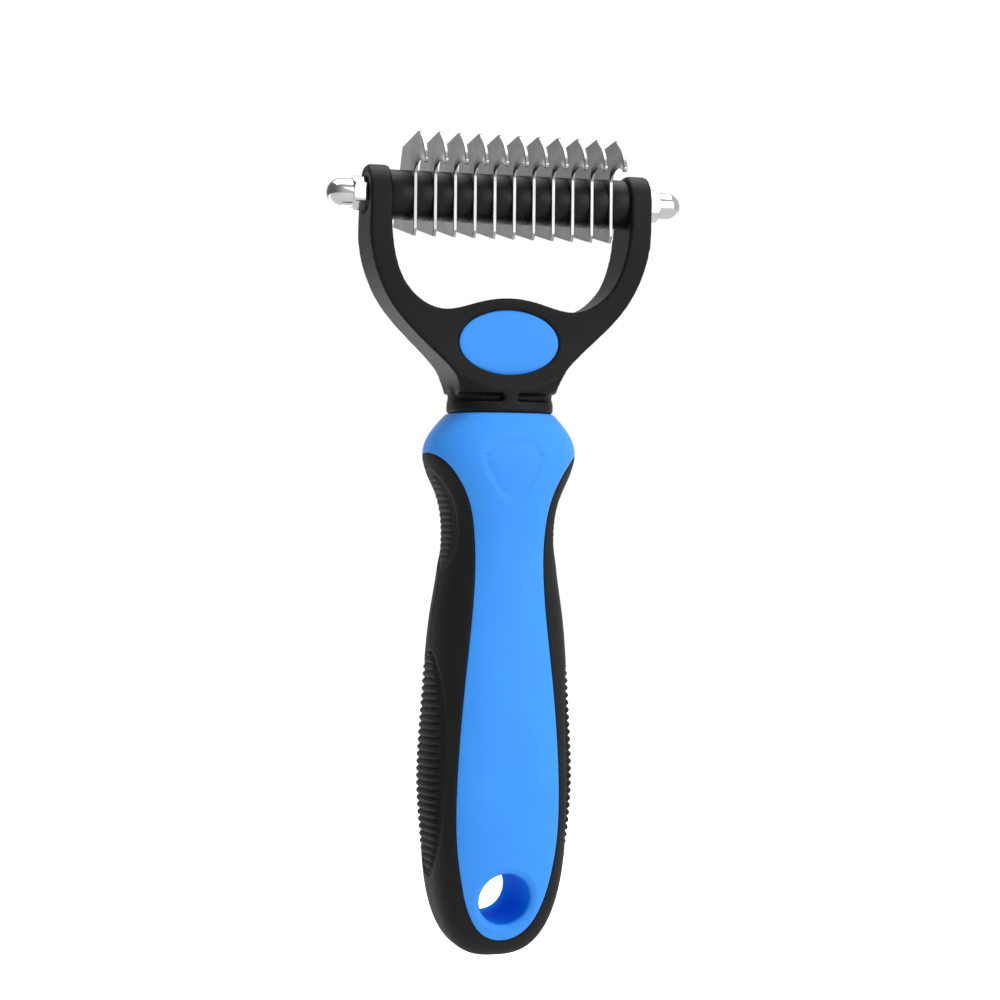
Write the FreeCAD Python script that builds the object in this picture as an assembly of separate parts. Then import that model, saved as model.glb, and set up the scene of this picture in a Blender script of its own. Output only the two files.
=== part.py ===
import FreeCAD, Part

# Undercoat rake for pet grooming: a moulded handle, a forked head, and eleven hooked blades
# stacked on an axle between the fork's arms.
# The handle stands along +Z with the head up, the combing side faces -Y, and the origin is on the
# axis of the hanging hole. All sizes are in millimetres.

import math
import os

V = FreeCAD.Vector

BEYOND = 40.0           # cutting and outline forms run this far past what they shape
OVERLAP = 1.0           # how far joined forms run into each other

# Handle: rows of (height, half width, half depth, roundness of the section's corners).
HANDLE_SECTIONS = [
    (-14.9, 3.0, 3.6, 3.0),
    (-14.2, 5.75, 6.0, 3.05),
    (-12.8, 8.4, 8.2, 3.05),
    (-9.0, 11.75, 10.8, 3.1),
    (-3.5, 14.15, 12.6, 3.1),
    (4.0, 15.75, 13.9, 3.1),
    (13.0, 16.65, 14.9, 3.0),
    (25.0, 17.8, 15.3, 2.8),
    (37.0, 17.6, 15.2, 2.7),
    (52.0, 16.7, 14.5, 2.6),
    (66.0, 15.6, 13.4, 2.5),
    (76.0, 14.1, 13.1, 2.4),
    (85.0, 13.45, 13.1, 2.4),
    (93.0, 14.45, 13.8, 2.4),
    (100.0, 17.1, 14.2, 2.4),
    (104.5, 18.0, 13.8, 2.5),
    (109.0, 16.45, 12.4, 2.6),
    (113.8, 12.35, 10.6, 2.7),
]
HANDLE_TOP = 113.8
SWEEP = 2.5             # how far the handle bends forward between its hole and its top
BUTT_HEIGHT = 22.8      # below this height the butt curls back
BUTT_CURL = 0.0019      # shift in depth for each square millimetre of distance below that height
GRIP_WALL = 2.6         # thickness of the soft grip over the rigid core
SECTION_POINTS = 20

# Rigid panel that shows between the two sides of the soft grip: (height, half width).
PANEL_OUTLINE = [
    (-10.3, 0.0),
    (-9.9, 2.4),
    (-8.7, 4.7),
    (-6.3, 6.95),
    (-3.5, 8.5),
    (0.0, 9.8),
    (5.0, 11.0),
    (11.0, 12.0),
    (20.0, 12.55),
    (32.0, 12.25),
    (44.0, 11.4),
    (55.0, 10.3),
    (72.0, 8.65),
    (86.0, 8.75),
    (94.0, 10.4),
    (99.0, 12.9),
    (103.2, 16.4),
    (105.7, 20.5),
]

HOLE_RADIUS = 6.15
HOLE_SPAN = (-10.0, 13.2)   # the full round wall runs between these depths
HOLE_LIP_RADIUS = 7.0

# Head
AXLE_HEIGHT = 164.05
AXLE_DEPTH = -7.0       # the axle lies in front of the hole's centre
ARM_INSIDE = 28.9
ARM_OUTSIDE = 34.05
ARM_END_RADIUS = 6.8    # each arm ends in a half round about the axle
ARM_TOP = 170.9         # the front outline is cut just above the half rounds
ARM_CORNER = 1.1

# Fork seen from the front, as (half width, height).
FORK_OUTSIDE = [
    (34.05, 158.3),
    (33.05, 148.8),
    (28.4, 138.7),
    (20.55, 130.3),
    (16.6, 126.6),
    (13.9, 123.7),
    (11.9, 118.3),
]
FORK_WINDOW = [(28.9, 160.3), (27.9, 150.3), (24.0, 142.1), (16.0, 137.8), (7.5, 139.5), (0.0, 140.6)]

# Fork seen from the side, as (height, half depth about the leaning mid-plane).
FORK_DEPTHS = [
    (AXLE_HEIGHT, ARM_END_RADIUS),
    (153.3, 7.0),
    (139.3, 6.4),
    (131.3, 6.3),
    (125.3, 7.4),
    (121.8, 9.0),
    (118.3, 10.3),
]

NECK_GROOVE_TOP = 118.6
NECK_GROOVE_FOOT = 116.5
NECK_HALF = (12.3, 10.4)
GROOVE_HALF = (12.25, 8.2)    # the groove is deep in front and behind, and runs out at the sides
NECK_ROUNDNESS = 2.8
NECK_FLARE = (30.0, 9.5, 8.0, 130.0)    # the neck's section opens out to this width, depth, roundness, height
NECK_RIB_WIDTH = 3.4
TANG = (14.0, 9.0, 24.0)        # wide, deep, long: glued into the handle's socket
TANG_GAP = 0.05
SOCKET_DEEPER = 1.0             # room for glue under the tang

BADGE_HALF = (12.0, 7.6)
BADGE_HEIGHT = 130.2
BADGE_SEAT = 6.3        # how far the badge's surround lies in front of the fork's mid-plane
BADGE_THICK = 1.8
BADGE_PROUD = 0.5
BADGE_GAP = 0.05

# Blade pack
BLADE_COUNT = 11
BLADE_THICK = 0.85
BLADE_PITCH = 4.74
SPACER_RADIUS = 5.8
LEFT_END_SPACER = 4.95
FACE_GAP = 0.05         # between the pack and the fork's faces
AXLE_RADIUS = 2.5
AXLE_FLAT = 2.1         # half the distance across the flats that key the blades
THREAD_RADIUS = 2.0
ARM_BORE_GAP = 0.05
KEY_GAP = 0.03

NUT_SEAT = 33.5
NUT_RECESS_RADIUS = 4.7
NUT_ACROSS_FLATS = 7.0
NUT_HEX_LENGTH = 3.8
NUT_CHAMFER = 0.55
NUT_TIP = 43.1
DOME_RADIUS = 3.25
NUT_BORE_DEPTH = 6.6
THREAD_GAP = 0.02
THREAD_END_GAP = 0.4    # between the axle's end and the bottom of the nut's hole


def centre_depth(z):
    """Depth of the handle's mid-plane: it bows forward towards the top, and the butt curls back."""
    return BUTT_CURL * max(BUTT_HEIGHT - z, 0.0) ** 2 - SWEEP * (max(z, 0.0) / HANDLE_TOP) ** 2


def fork_centre_depth(z):
    """Depth of the fork's mid-plane, which leans forward from the neck to the axle."""
    lean = (AXLE_DEPTH + SWEEP) / (AXLE_HEIGHT - HANDLE_TOP)
    return -SWEEP + lean * (z - HANDLE_TOP)


def section_wire(z, half_width, half_depth, roundness, depth):
    """Closed superellipse in a horizontal plane."""
    points = []
    for step in range(SECTION_POINTS):
        angle = 2 * math.pi * step / SECTION_POINTS
        c, s = math.cos(angle), math.sin(angle)
        x = half_width * math.copysign(abs(c) ** (2 / roundness), c)
        y = half_depth * math.copysign(abs(s) ** (2 / roundness), s)
        points.append(V(x, depth + y, z))
    curve = Part.BSplineCurve()
    curve.interpolate(Points=points, PeriodicFlag=True)
    return Part.Wire(curve.toShape())


def handle_loft(inset=0.0):
    """The handle's outer form, or the same form shrunk sideways by an inset."""
    wires = []
    for z, half_width, half_depth, roundness in HANDLE_SECTIONS:
        if min(half_width, half_depth) - inset > 1.0:
            wires.append(section_wire(z, half_width - inset, half_depth - inset, roundness, centre_depth(z)))
    return Part.makeLoft(wires, True, False)


def spline_edge(points):
    curve = Part.BSplineCurve()
    curve.interpolate(points)
    return curve.toShape()


def prism(edges, direction):
    return Part.Face(Part.Wire(edges)).extrude(direction)


def panel_prism():
    """The panel's front outline, run right through the handle from front to back."""
    front = -BEYOND
    right = [V(x, front, z) for z, x in PANEL_OUTLINE]
    left = [V(-x, front, z) for z, x in reversed(PANEL_OUTLINE)]
    top = HANDLE_TOP + OVERLAP
    sides = spline_edge(left + right[1:])
    corners = [right[-1], V(right[-1].x, front, top), V(left[0].x, front, top), left[0]]
    edges = [sides] + [Part.makeLine(a, b) for a, b in zip(corners, corners[1:])]
    return prism(edges, V(0, 2 * BEYOND, 0))


def box(half_x, half_y, z_low, z_high, depth=0.0):
    return Part.makeBox(2 * half_x, 2 * half_y, z_high - z_low, V(-half_x, depth - half_y, z_low))


def handle_parts():
    outer = handle_loft()
    inner = handle_loft(GRIP_WALL)
    core = outer.common(panel_prism()).fuse(inner).removeSplitter()
    grip = outer.cut(core)

    front, back = HOLE_SPAN
    hole = Part.makeCylinder(HOLE_RADIUS, 2 * BEYOND, V(0, -BEYOND, 0), V(0, 1, 0))
    hole = hole.fuse(Part.makeCylinder(HOLE_LIP_RADIUS, BEYOND, V(0, front, 0), V(0, -1, 0)))
    hole = hole.fuse(Part.makeCylinder(HOLE_LIP_RADIUS, BEYOND, V(0, back, 0), V(0, 1, 0)))
    wide, deep, length = TANG
    foot = HANDLE_TOP - length - SOCKET_DEEPER
    socket = box(wide / 2 + TANG_GAP, deep / 2 + TANG_GAP, foot, HANDLE_TOP + OVERLAP, -SWEEP)
    core = core.cut(hole).cut(socket)
    return core, grip


def fork_front():
    """Front outline of the fork, run from front to back."""
    def point(x, z):
        return V(x, -BEYOND, z)

    outside_right = [point(x, z) for x, z in FORK_OUTSIDE]
    outside_left = [point(-x, z) for x, z in reversed(FORK_OUTSIDE)]
    window = [point(x, z) for x, z in FORK_WINDOW]
    window += [point(-x, z) for x, z in reversed(FORK_WINDOW[:-1])]

    def arm_top(side):
        """Outline over an arm from its outside to its inside, with rounded corners."""
        out, inn, r, top = side * ARM_OUTSIDE, side * ARM_INSIDE, ARM_CORNER, ARM_TOP
        k = r * (1 - math.sqrt(0.5))
        return [
            Part.makeLine(point(out, FORK_OUTSIDE[0][1]), point(out, top - r)),
            Part.Arc(point(out, top - r), point(out - side * k, top - k), point(out - side * r, top)).toShape(),
            Part.makeLine(point(out - side * r, top), point(inn + side * r, top)),
            Part.Arc(point(inn + side * r, top), point(inn + side * k, top - k), point(inn, top - r)).toShape(),
            Part.makeLine(point(inn, top - r), point(inn, FORK_WINDOW[0][1])),
        ]

    edges = arm_top(1) + [spline_edge(window)] + arm_top(-1)
    edges += [spline_edge(outside_left[::-1]), spline_edge(outside_right)]
    edges.append(Part.makeLine(outside_right[-1], outside_left[0]))
    return prism(Part.__sortEdges__(edges), V(0, 2 * BEYOND, 0))


def fork_side():
    """Side outline of the fork, run from side to side, with the arms' round ends at its top."""
    x = -BEYOND
    front, back = [], []
    for z, half_depth in FORK_DEPTHS:
        front.append(V(x, fork_centre_depth(z) - half_depth, z))
        back.append(V(x, fork_centre_depth(z) + half_depth, z))
    crown = V(x, AXLE_DEPTH, AXLE_HEIGHT + ARM_END_RADIUS)
    edges = [spline_edge(front), spline_edge(back)]
    edges += [Part.Arc(front[0], crown, back[0]).toShape(), Part.makeLine(front[-1], back[-1])]
    return prism(Part.__sortEdges__(edges), V(2 * BEYOND, 0, 0))


def neck():
    """Grooved collar under the fork, and the tang that fills the handle's socket."""
    def slab(half, low, high):
        wire = section_wire(low, half[0], half[1], NECK_ROUNDNESS, -SWEEP)
        return Part.Face(wire).extrude(V(0, 0, high - low))

    groove = slab(GROOVE_HALF, NECK_GROOVE_FOOT - OVERLAP, NECK_GROOVE_TOP + OVERLAP)
    ribs = box(NECK_RIB_WIDTH / 2, BEYOND, NECK_GROOVE_FOOT, NECK_GROOVE_TOP, -SWEEP)
    ribs = ribs.common(slab(NECK_HALF, NECK_GROOVE_FOOT, NECK_GROOVE_TOP))
    flange = slab(NECK_HALF, HANDLE_TOP, NECK_GROOVE_FOOT)
    wide, deep, length = TANG
    tang = box(wide / 2, deep / 2, HANDLE_TOP - length, HANDLE_TOP + OVERLAP, -SWEEP)
    return flange.fuse([groove, ribs, tang])


def neck_flare():
    """Form that rounds the fork's corners off where it runs down into the collar."""
    half_width, half_depth, roundness, height = NECK_FLARE
    foot = section_wire(NECK_GROOVE_TOP - OVERLAP, NECK_HALF[0], NECK_HALF[1], NECK_ROUNDNESS, -SWEEP)
    head = section_wire(height, half_width, half_depth, roundness, fork_centre_depth(height))
    flare = Part.makeLoft([foot, head], True, True)
    return flare.fuse(box(BEYOND, BEYOND, height, ARM_TOP + OVERLAP))


def along_x(radius, start, end, y=AXLE_DEPTH, z=AXLE_HEIGHT):
    return Part.makeCylinder(radius, end - start, V(start, y, z), V(1, 0, 0))


def badge_solid(gap):
    """Oval insert on the fork's front, or its pocket when a gap is added round it."""
    z = BADGE_HEIGHT
    face = fork_centre_depth(z) - BADGE_SEAT
    ellipse = Part.Ellipse(V(0, 0, 0), BADGE_HALF[0] + gap, BADGE_HALF[1] + gap)
    disc = Part.Face(Part.Wire(ellipse.toShape()))
    disc.rotate(V(0, 0, 0), V(1, 0, 0), 90)
    disc.translate(V(0, face - BADGE_PROUD, z))
    if gap:
        disc.translate(V(0, -BEYOND, 0))
        return disc.extrude(V(0, BEYOND + BADGE_PROUD + BADGE_THICK + gap, 0))
    return disc.extrude(V(0, BADGE_PROUD + BADGE_THICK, 0))


def yoke():
    body = fork_front().common(fork_side()).common(neck_flare())
    body = body.fuse(neck()).removeSplitter()
    body = body.cut(along_x(THREAD_RADIUS + ARM_BORE_GAP, -BEYOND, BEYOND))
    for side in (-1, 1):
        start, end = sorted((side * (NUT_SEAT - FACE_GAP), side * BEYOND))
        body = body.cut(along_x(NUT_RECESS_RADIUS, start, end))
    return body.cut(badge_solid(BADGE_GAP))


def keyed(radius, flat, start, end):
    """Round bar with two flats, front and back."""
    bar = along_x(radius, start, end)
    block = Part.makeBox(end - start, 2 * flat, 4 * radius,
                         V(start, AXLE_DEPTH - flat, AXLE_HEIGHT - 2 * radius))
    return bar.common(block)


def key_hole(start, end):
    """Form that cuts the axle's section, with its gap, right through a part between these ends."""
    return keyed(AXLE_RADIUS + KEY_GAP, AXLE_FLAT + KEY_GAP, start - OVERLAP, end + OVERLAP)


def axle():
    """Keyed bar between the arms, turned down to a threaded end in each nut."""
    shoulder = ARM_INSIDE - FACE_GAP
    thread_end = NUT_SEAT + NUT_BORE_DEPTH - THREAD_END_GAP
    return keyed(AXLE_RADIUS, AXLE_FLAT, -shoulder, shoulder).fuse(
        along_x(THREAD_RADIUS, -thread_end, thread_end)).removeSplitter()


def blade(x_low):
    """One hooked blade: the hook points down in front, ready to pull towards the handle."""
    def at(y, z):
        return V(x_low, AXLE_DEPTH + y, AXLE_HEIGHT + z)

    tip = Part.Arc(at(-9.2, 13.6), at(-10.6, 13.35), at(-11.5, 12.7)).toShape()
    brow = Part.Arc(at(-11.5, 12.7), at(-14.6, 10.1), at(-16.4, 6.9)).toShape()
    point = Part.Arc(at(-16.4, 6.9), at(-16.4, 5.9), at(-15.5, 5.6)).toShape()
    notch = spline_edge([at(-15.5, 5.6), at(-13.3, 6.6), at(-10.6, 7.0), at(-7.9, 6.3), at(-6.1, 4.4)])
    corners = [at(-6.1, 4.4), at(-6.1, -8.3), at(-4.9, -9.85), at(14.9, -5.9), at(5.7, 12.1), at(-9.2, 13.6)]
    edges = [tip, brow, point, notch] + [Part.makeLine(a, b) for a, b in zip(corners, corners[1:])]
    plate = prism(edges, V(BLADE_THICK, 0, 0))
    return plate.cut(key_hole(x_low, x_low + BLADE_THICK))


def spacer(start, end):
    """Moulded sleeve between two blades."""
    return along_x(SPACER_RADIUS, start, end).cut(key_hole(start, end))


def cap_nut(side):
    """Domed hexagon nut with a blind threaded hole; one corner of the hexagon faces forward."""
    corner = NUT_ACROSS_FLATS / math.sqrt(3)
    ring = []
    for step in range(7):
        angle = math.radians(60 * step)
        ring.append(V(NUT_SEAT, AXLE_DEPTH + corner * math.cos(angle), AXLE_HEIGHT + corner * math.sin(angle)))
    hexagon = Part.Face(Part.makePolygon(ring)).extrude(V(NUT_HEX_LENGTH, 0, 0))
    crown = Part.makeCone(corner + NUT_HEX_LENGTH - NUT_CHAMFER, corner - NUT_CHAMFER, NUT_HEX_LENGTH,
                          V(NUT_SEAT, AXLE_DEPTH, AXLE_HEIGHT), V(1, 0, 0))
    hexagon = hexagon.common(crown)
    dome_centre = NUT_TIP - DOME_RADIUS
    dome = along_x(DOME_RADIUS, NUT_SEAT + OVERLAP, dome_centre)
    dome = dome.fuse(Part.makeSphere(DOME_RADIUS, V(dome_centre, AXLE_DEPTH, AXLE_HEIGHT)))
    nut = hexagon.fuse(dome).removeSplitter()
    nut = nut.cut(along_x(THREAD_RADIUS + THREAD_GAP, NUT_SEAT - OVERLAP, NUT_SEAT + NUT_BORE_DEPTH))
    return nut if side > 0 else nut.mirror(V(0, 0, 0), V(1, 0, 0))


def export(node, shape):
    solids = shape.Solids
    print(node, "solids", len(solids), "valid", shape.isValid(), "volume %.1f" % shape.Volume)
    result = solids[0] if len(solids) == 1 else Part.makeCompound(solids)
    result.exportStep("parts/" + node + ".step")


def main():
    os.makedirs("parts", exist_ok=True)
    core, grip = handle_parts()
    export("handle_core", core)
    export("grip_overmould", grip)
    export("yoke", yoke())
    export("oval_badge", badge_solid(0.0))
    export("axle", axle())
    start = -ARM_INSIDE + FACE_GAP
    first_blade = start + LEFT_END_SPACER
    export("spacer_01", spacer(start, first_blade))
    for index in range(BLADE_COUNT):
        x = first_blade + index * BLADE_PITCH
        export("blade_%02d" % (index + 1), blade(x))
        last = index == BLADE_COUNT - 1
        end = -start if last else x + BLADE_PITCH
        export("spacer_%02d" % (index + 2), spacer(x + BLADE_THICK, end))
    export("cap_nut_left", cap_nut(-1))
    export("cap_nut_right", cap_nut(1))


main()
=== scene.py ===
import math

import bmesh
import bpy
import numpy as np
from mathutils import Matrix, Vector


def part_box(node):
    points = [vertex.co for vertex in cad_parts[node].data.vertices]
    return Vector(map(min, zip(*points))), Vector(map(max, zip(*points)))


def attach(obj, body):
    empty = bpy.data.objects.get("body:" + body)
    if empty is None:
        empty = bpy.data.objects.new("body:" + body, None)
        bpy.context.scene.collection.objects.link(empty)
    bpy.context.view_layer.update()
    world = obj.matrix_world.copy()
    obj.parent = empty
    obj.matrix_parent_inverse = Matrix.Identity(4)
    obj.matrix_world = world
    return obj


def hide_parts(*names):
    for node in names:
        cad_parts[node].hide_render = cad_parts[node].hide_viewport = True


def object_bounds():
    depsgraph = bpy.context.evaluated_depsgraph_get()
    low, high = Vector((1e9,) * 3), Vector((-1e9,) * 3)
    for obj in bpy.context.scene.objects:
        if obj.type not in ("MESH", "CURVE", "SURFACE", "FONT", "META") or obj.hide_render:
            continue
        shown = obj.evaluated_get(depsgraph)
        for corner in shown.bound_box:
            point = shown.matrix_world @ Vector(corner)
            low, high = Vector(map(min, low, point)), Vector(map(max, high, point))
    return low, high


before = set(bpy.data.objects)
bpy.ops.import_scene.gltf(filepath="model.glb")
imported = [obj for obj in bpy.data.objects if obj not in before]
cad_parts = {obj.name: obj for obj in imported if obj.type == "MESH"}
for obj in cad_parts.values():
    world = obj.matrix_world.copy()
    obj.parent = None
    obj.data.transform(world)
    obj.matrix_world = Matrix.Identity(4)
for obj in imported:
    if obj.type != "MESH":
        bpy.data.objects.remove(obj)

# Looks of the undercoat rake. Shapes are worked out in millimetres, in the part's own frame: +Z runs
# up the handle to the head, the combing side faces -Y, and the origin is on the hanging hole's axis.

MM = 0.001
CAD_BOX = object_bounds()

# Handle above its rounded butt: rows of (height, half width, half depth, roundness of the section).
HANDLE_ROWS = [
    (4.0, 16.6, 14.4, 3.2),
    (13.0, 16.84, 15.0, 3.0),
    (25.0, 17.8, 15.3, 2.8),
    (37.0, 17.6, 15.2, 2.7),
    (52.0, 16.7, 14.5, 2.6),
    (66.0, 15.6, 13.4, 2.5),
    (76.0, 14.1, 13.1, 2.4),
    (85.0, 13.45, 13.1, 2.4),
    (93.0, 14.45, 13.8, 2.4),
    (100.0, 17.1, 14.2, 2.4),
    (104.5, 18.0, 13.8, 2.5),
    (109.0, 16.45, 12.4, 2.6),
    (113.8, 12.35, 10.6, 2.7),
]
HANDLE_TOP = 113.8
HANDLE_SWEEP = 2.5

# Below this height the handle rounds off to its butt, and curls back.
BUTT_HEIGHT = 22.8
BUTT_LENGTH = 37.7
BUTT_ROUNDNESS = 2.8
BUTT_CURL = 0.0019

# Below this height the mesh's rows fan out round the butt.
FAN_HEIGHT = 4.0
FAN_LENGTH = 18.5

# Blue panel between the two sides of the grip: (height, half width).
PANEL_OUTLINE = [
    (-10.3, 0.0),
    (-9.9, 2.4),
    (-8.7, 4.7),
    (-6.3, 6.95),
    (-3.5, 8.5),
    (0.0, 9.8),
    (5.0, 11.0),
    (11.0, 12.0),
    (20.0, 12.55),
    (32.0, 12.25),
    (44.0, 11.4),
    (55.0, 10.3),
    (72.0, 8.65),
    (86.0, 8.75),
    (94.0, 10.4),
    (99.0, 12.9),
    (103.2, 16.4),
    (105.7, 20.5),
]
HOLE_RING_TOP = 12.0        # below this height the panel's mesh runs in rings round the hole
GRIP_WALL = 2.5
CORE_EDGE = 0.45            # edge radii where the panel and the grip meet
GRIP_EDGE = 0.4
EDGE_STEPS = (0.0, 0.06, 0.16, 0.3, 0.48)   # distances in from an edge where the mesh has points
TOP_EDGE = 0.8              # height of the handle's rounded top edge
TOP_ROUNDING = 0.05         # share of the section that the rounding takes off at the very top
TOP_TAPERS = (0.052, 0.035) # shares by which the handle narrows and thins over the edge's height
SHOULDER_STEPS = (0.06, 0.16, 0.3, 0.5, 0.9)    # first rows of the mesh above the arch's tip
ARCH_CLOSING = 2.2          # how strongly the mesh's rows close in on the tip of the panel's arch

# Rim of the hanging hole: (radius, depth below the handle's surface).
HOLE_RIM = [
    (8.2, 0.0), (8.0, -0.04), (7.8, -0.05), (7.6, 0.02), (7.4, 0.13), (7.1, 0.3),
    (6.8, 0.5), (6.55, 0.72), (6.35, 0.98), (6.22, 1.28), (6.16, 1.65), (6.15, 2.15),
]

# Rings of the mesh from the rim (0) out to the panel's edge (1), closest at the edge.
HOLE_RING_SHARES = (0.0, 0.12, 0.27, 0.43, 0.58, 0.72, 0.83, 0.91, 0.955, 0.98, 1.0)

# Thumb pad: a shallow rounded triangle that points down the handle.
PAD_HEIGHT = 101.4
PAD_RADIUS = 6.6
PAD_CORNERS = 0.12
PAD_DEPTH = 0.34
PAD_EDGE = 0.9              # width of the slope down to the pad
PAD_GROOVE = (0.7, 0.55)    # reach and depth, as a share of the pad's, of the line round the pad

# Ribbed recesses on both sides of the grip, seen from the side: a superellipse about a centre, with
# its ribs a margin in from its rim.
LOWER_RIBS = dict(centre=30.5, up=28.0, down=26.5, half=11.6, roundness=2.3, margin=1.6, pitch=1.74,
                  first=6.9, tilt=0.05, height=0.66)
UPPER_RIBS = dict(centre=88.5, up=12.2, down=12.0, half=8.2, roundness=2.7, margin=2.6, pitch=1.43,
                  first=81.0, tilt=0.0, height=0.22)
RECESS_BEVEL = 1.15
RECESS_DEPTH = 0.5
RIB_ROUNDNESS = 0.5         # below 1 the ribs are wider than the gaps
RIB_FADE = 0.7              # distance over which the ribs rise from the recess's floor
GRIP_ROWS = [(-1.0, 60.0, 0.2), (60.0, 75.0, 0.75), (75.0, 102.0, 0.16)]    # from, to, spacing

# Soft ridge down the middle of the grip's side between the recesses: it fades in and out at heights.
CREASE_HEIGHT = 0.16
CREASE_WIDTH = 0.9
CREASE_SPAN = (54.0, 62.0, 75.0, 81.0)


# ---------------------------------------------------------------- mesh tools

class Skin:
    """Collects grids and faces of points in millimetres, and joins the points that coincide."""

    def __init__(self):
        self.points, self.faces = [], []

    def grid(self, points, wrap=False):
        rows, columns = points.shape[:2]
        base = len(self.points)
        self.points.extend(points.reshape(-1, 3))
        for r in range(rows - 1):
            for c in range(columns - (0 if wrap else 1)):
                d = (c + 1) % columns
                self.faces.append([base + r * columns + c, base + r * columns + d,
                                   base + (r + 1) * columns + d, base + (r + 1) * columns + c])

    def face(self, points):
        base = len(self.points)
        self.points.extend(points)
        self.faces.append(list(range(base, base + len(points))))

    def build(self, name, body, slot, replaced, material, sharp=40.0, join=1e-3):
        mesh = bpy.data.meshes.new(name)
        mesh.from_pydata([tuple(p * MM) for p in self.points], [], self.faces)
        b = bmesh.new()
        b.from_mesh(mesh)
        bmesh.ops.remove_doubles(b, verts=b.verts, dist=join * MM)
        bmesh.ops.dissolve_degenerate(b, edges=b.edges, dist=1e-4 * MM)
        bmesh.ops.recalc_face_normals(b, faces=b.faces)
        b.to_mesh(mesh)
        b.free()
        return place(mesh, name, body, slot, replaced, material, sharp)


def place(mesh, name, body, slot, replaced, material, sharp):
    """Makes a mesh into a piece of the model."""
    mesh.polygons.foreach_set("use_smooth", [True] * len(mesh.polygons))
    mesh.set_sharp_from_angle(angle=math.radians(sharp))
    piece = bpy.data.objects.new(name, mesh)
    bpy.context.scene.collection.objects.link(piece)
    piece.data.materials.append(material)
    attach(piece, body)
    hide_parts(*replaced)
    return piece


def smooth_curve(places, values):
    """Natural cubic through the given points, straight beyond its ends."""
    xs, ys = np.array(places, float), np.array(values, float)
    gaps, count = np.diff(xs), len(xs)
    matrix, right = np.eye(count), np.zeros(count)
    for i in range(1, count - 1):
        matrix[i, i - 1:i + 2] = gaps[i - 1], 2 * (gaps[i - 1] + gaps[i]), gaps[i]
        right[i] = 6 * ((ys[i + 1] - ys[i]) / gaps[i] - (ys[i] - ys[i - 1]) / gaps[i - 1])
    bend = np.linalg.solve(matrix, right)
    slope_low = (ys[1] - ys[0]) / gaps[0] - gaps[0] * bend[1] / 6
    slope_high = (ys[-1] - ys[-2]) / gaps[-1] + gaps[-1] * bend[-2] / 6

    def value(x):
        x = np.asarray(x, float)
        i = np.clip(np.searchsorted(xs, x) - 1, 0, count - 2)
        kept = np.clip(x, xs[0], xs[-1])
        a, b = (xs[i + 1] - kept) / gaps[i], (kept - xs[i]) / gaps[i]
        curve = a * ys[i] + b * ys[i + 1]
        curve += ((a ** 3 - a) * bend[i] + (b ** 3 - b) * bend[i + 1]) * gaps[i] ** 2 / 6
        return curve + (x - kept) * np.where(x < xs[0], slope_low, slope_high)

    return value


def ease(x):
    """Smooth step from 0 to 1."""
    x = np.clip(x, 0.0, 1.0)
    return x * x * (3 - 2 * x)


def lengths_along(x, z):
    """Distance travelled along a line at each of its points."""
    return np.concatenate([[0], np.cumsum(np.hypot(np.diff(x), np.diff(z)))])


def fillet(distance, radius):
    """How far a rounded edge has dropped at a distance in from the edge."""
    rest = np.clip(radius - distance, 0.0, radius)
    return radius - np.sqrt(radius ** 2 - rest ** 2)


# ---------------------------------------------------------------- handle's outer form

half_width, half_depth, roundness = (
    smooth_curve([row[0] for row in HANDLE_ROWS], [row[k] for row in HANDLE_ROWS]) for k in (1, 2, 3))


def bow(z):
    """Depth of the handle's mid-plane at a height."""
    return -HANDLE_SWEEP * (np.maximum(z, 0.0) / HANDLE_TOP) ** 2


def side_term(x, z):
    """1 on the silhouette seen from the front, and less inside it."""
    drop = np.maximum(BUTT_HEIGHT - z, 0) / BUTT_LENGTH
    across = (np.abs(x) / half_width(z)) ** BUTT_ROUNDNESS + drop ** BUTT_ROUNDNESS
    return across ** (roundness(z) / BUTT_ROUNDNESS)


def excess(p):
    """Below zero inside the handle's outer form, and above zero outside it."""
    x, y, z = np.moveaxis(p, -1, 0)
    return side_term(x, z) + (np.abs(y - bow(z)) / half_depth(z)) ** roundness(z) - 1


def front_depth(x, z):
    """Y of the handle's front surface at a place seen from the front."""
    return bow(z) - half_depth(z) * np.maximum(1 - side_term(x, z), 0) ** (1 / roundness(z))


SURELY_OUTSIDE = 1.6        # share of a ray's length by which it has always left the handle
HALVINGS = 34


def cast(centre, ray):
    """Where rays from inside the handle meet its surface."""
    low = np.zeros(ray.shape[:-1])
    high = np.full(ray.shape[:-1], SURELY_OUTSIDE)
    for _ in range(HALVINGS):
        middle = (low + high) / 2
        out = excess(centre + ray * middle[..., None]) > 0
        low, high = np.where(out, low, middle), np.where(out, middle, high)
    return centre + ray * low[..., None]


def outward(p):
    """Unit normals of the handle's outer form."""
    step = 0.02 * np.eye(3)
    slopes = np.stack([excess(p + s) - excess(p - s) for s in step], -1)
    return slopes / np.linalg.norm(slopes, axis=-1, keepdims=True)


def mirror_depth(p):
    """The same points on the handle's other face."""
    q = p.copy()
    q[..., 1] = 2 * bow(p[..., 2]) - p[..., 1]
    return q


def curl_back(points):
    """The points shifted in depth where the butt curls back."""
    curled = np.array(points)
    curled[:, 1] += BUTT_CURL * np.maximum(BUTT_HEIGHT - curled[:, 2], 0) ** 2
    return curled


def outline_curve():
    """Right half of the panel's outline as closely spaced points, from its foot to the silhouette."""
    x = [-row[1] for row in reversed(PANEL_OUTLINE)] + [row[1] for row in PANEL_OUTLINE[1:]]
    z = [row[0] for row in reversed(PANEL_OUTLINE)] + [row[0] for row in PANEL_OUTLINE[1:]]
    travel = lengths_along(x, z)
    places = np.linspace(travel[-1] / 2, travel[-1], 1500)
    xs, zs = smooth_curve(travel, x)(places), smooth_curve(travel, z)(places)
    xs[0] = 0.0
    kept = xs < half_width(zs)
    return xs[kept], zs[kept]


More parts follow.
